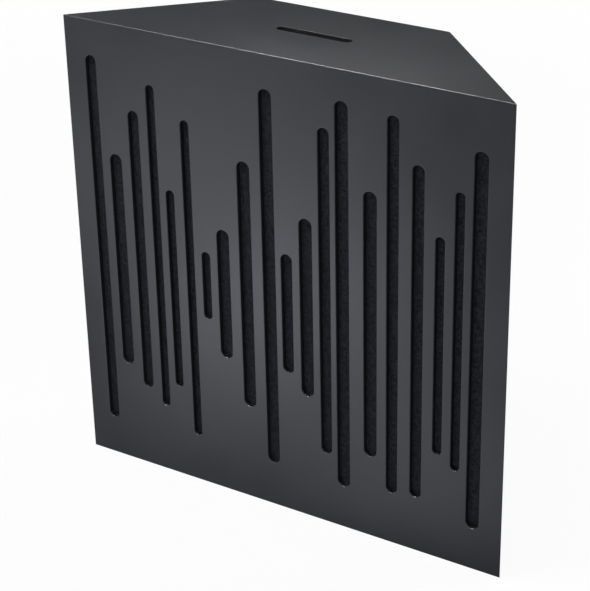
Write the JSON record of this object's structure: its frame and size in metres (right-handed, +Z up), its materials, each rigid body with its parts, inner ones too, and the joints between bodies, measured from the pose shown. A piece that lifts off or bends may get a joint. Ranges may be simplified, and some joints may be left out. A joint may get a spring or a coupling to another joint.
{
  "type": "corner bass trap",
  "caption": "Square slotted front panel on a closed wedge-sided body that fits a room corner and absorbs low frequencies.",
  "frame": {"origin": "middle of the base on the surface it stands on, under the centre of the body's box", "axes": "-Y is the slotted front, +Y points into the room corner, +X is to the right seen from the front, +Z is up"},
  "size_m": [0.595, 0.167, 0.595],
  "materials": {
    "lacquered_board": "satin anthracite lacquer on MDF",
    "black_screw": "black phosphated steel",
    "timber": "planed pine",
    "acoustic_fleece": "black needled fleece",
    "absorber_wool": "grey polyester wool"
  },
  "bodies": {
    "root": {"front_panel": "lacquered_board", "top_panel": "lacquered_board", "bottom_panel": "lacquered_board", "left_side_panel": "lacquered_board", "right_side_panel": "lacquered_board", "rear_cover": "lacquered_board", "cover_screw_1": "black_screw", "cover_screw_2": "black_screw", "cover_screw_3": "black_screw", "cover_screw_4": "black_screw", "cover_screw_5": "black_screw", "cover_screw_6": "black_screw", "cover_screw_7": "black_screw", "cover_screw_8": "black_screw", "bottom_front_cleat": "timber", "bottom_left_cleat": "timber", "bottom_right_cleat": "timber", "bottom_rear_cleat": "timber", "top_front_cleat": "timber", "top_left_cleat": "timber", "top_right_cleat": "timber", "top_rear_cleat": "timber", "left_rear_batten": "timber", "right_rear_batten": "timber", "front_fleece": "acoustic_fleece", "bottom_fleece": "acoustic_fleece", "top_fleece": "acoustic_fleece", "front_absorber_slab": "absorber_wool", "middle_absorber_slab": "absorber_wool", "rear_absorber_slab": "absorber_wool"}
  },
  "joints": []
}
